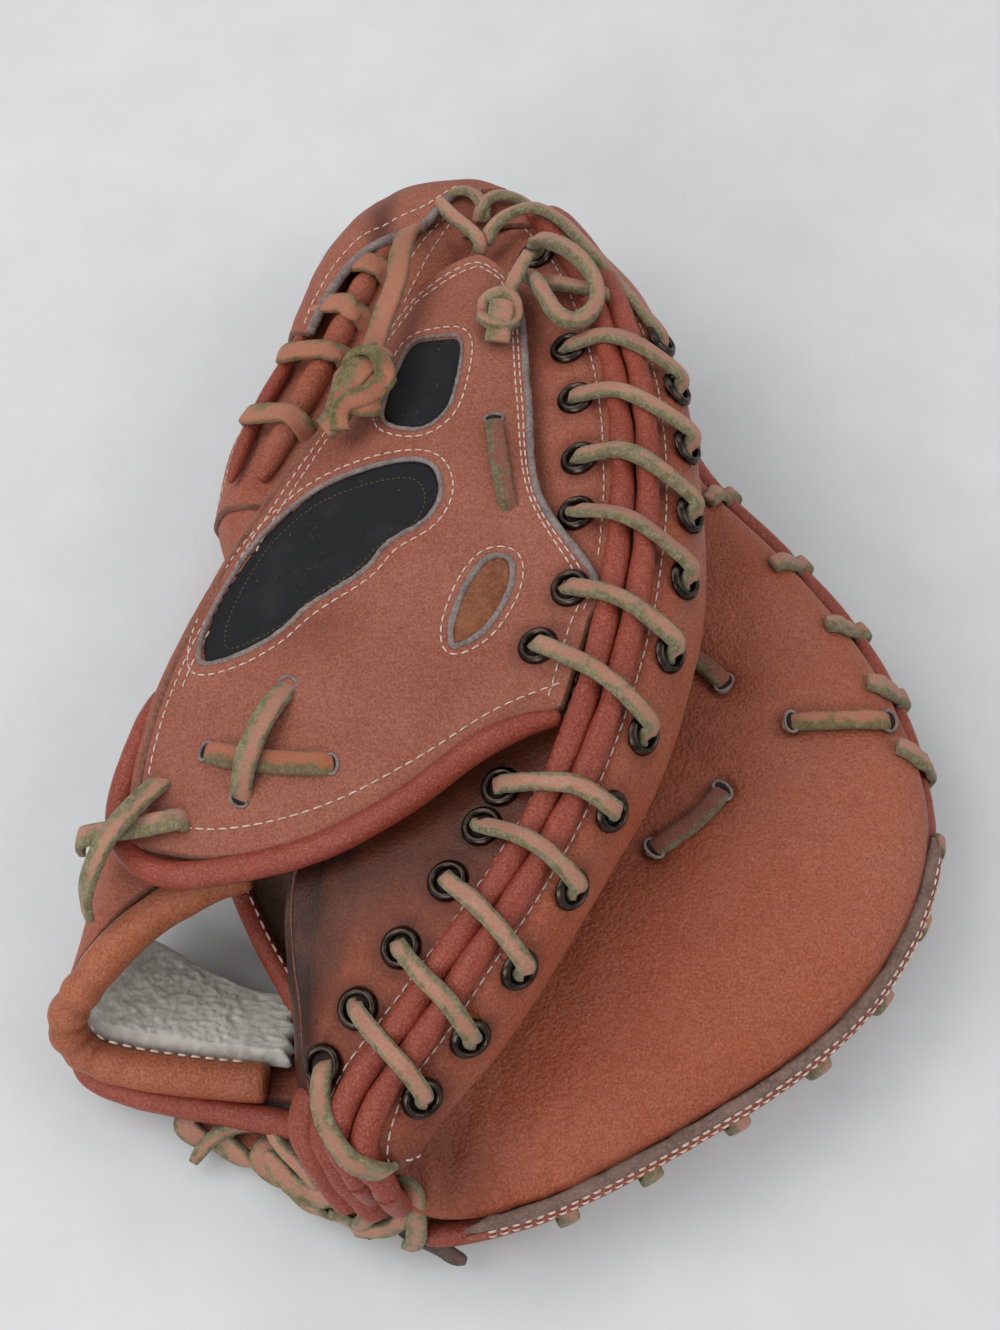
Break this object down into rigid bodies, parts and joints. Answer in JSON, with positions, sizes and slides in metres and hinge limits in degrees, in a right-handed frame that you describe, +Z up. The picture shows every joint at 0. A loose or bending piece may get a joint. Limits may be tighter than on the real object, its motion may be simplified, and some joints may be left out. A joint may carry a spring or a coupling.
{
  "type": "baseball catcher's mitt",
  "caption": "Laced leather catcher's mitt folded shut on a table, thumb half over finger half, with padded pocket, roped rim, web hood and fleece-lined wrist strap.",
  "frame": {"origin": "on the table plane, under the flat back of the finger half", "axes": "+X from the fold to the open rim, +Y from heel to toe, +Z up"},
  "size_m": [0.2494, 0.3425, 0.098],
  "materials": {
    "back_leather": "worn orange-brown leather, satin",
    "palm_leather": "pebble-grained orange-brown leather, satin",
    "lining_leather": "smooth brown leather, polished by use",
    "worn_leather": "dusty pink-brown leather, matt",
    "padding": "pressed wool felt",
    "binding": "brick-red leather piping, satin",
    "lace": "rawhide lace, pink face with olive-grey suede edges",
    "eyelet": "dark bronzed, glossy",
    "patch_cloth": "black woven satin with a grey felt backing",
    "fleece": "grey-white sheepskin pile"
  },
  "bodies": {
    "finger_half": {"finger_back_shell": "back_leather", "finger_lining": "lining_leather", "finger_pad": "padding", "finger_palm_shell": "palm_leather", "finger_rim_strip": "worn_leather", "finger_rim_binding": "binding", "finger_eyelets": "eyelet", "finger_rim_lacing": "lace", "pocket_laces": "lace", "finger_wrist_binding": "binding", "heel_strip": "palm_leather", "heel_lacing": "lace", "heel_lace_tail": "lace", "palm_crease": "palm_leather", "fold_lining": "lining_leather", "web_panel": "back_leather", "web_hood": "worn_leather", "web_bindings": "binding", "web_laces": "lace", "wrist_strap": "back_leather", "strap_fleece": "fleece", "strap_rolled_edge": "back_leather", "strap_binding": "binding", "strap_tie_laces": "lace"},
    "thumb_half": {"thumb_palm_shell": "palm_leather", "thumb_pad": "padding", "thumb_heel_lining": "lining_leather", "thumb_back_band": "back_leather", "thumb_back_panel": "worn_leather", "back_edge_binding": "binding", "palm_edge_binding": "binding", "wrist_opening_binding": "binding", "back_eyelets": "eyelet", "palm_eyelets": "eyelet", "thumb_lacing": "lace", "tip_lace_loop": "lace", "label_patch": "patch_cloth", "stall_patch": "patch_cloth", "stall_lace": "lace", "cross_laces": "lace", "web_tie_lace": "lace", "stall_tie_knot": "lace", "slot_lining": "lining_leather"}
  },
  "joints": [
    {"name": "pocket_fold", "type": "hinge", "parent": "finger_half", "child": "thumb_half", "pos_m": [-0.05, 0, 0.045], "axis": [0, -1, 0], "range_deg": [0, 40], "deforming": ["palm_crease", "fold_lining", "web_panel", "web_hood", "web_bindings", "web_laces", "wrist_strap", "strap_fleece", "strap_rolled_edge", "strap_binding", "strap_tie_laces"]}
  ]
}
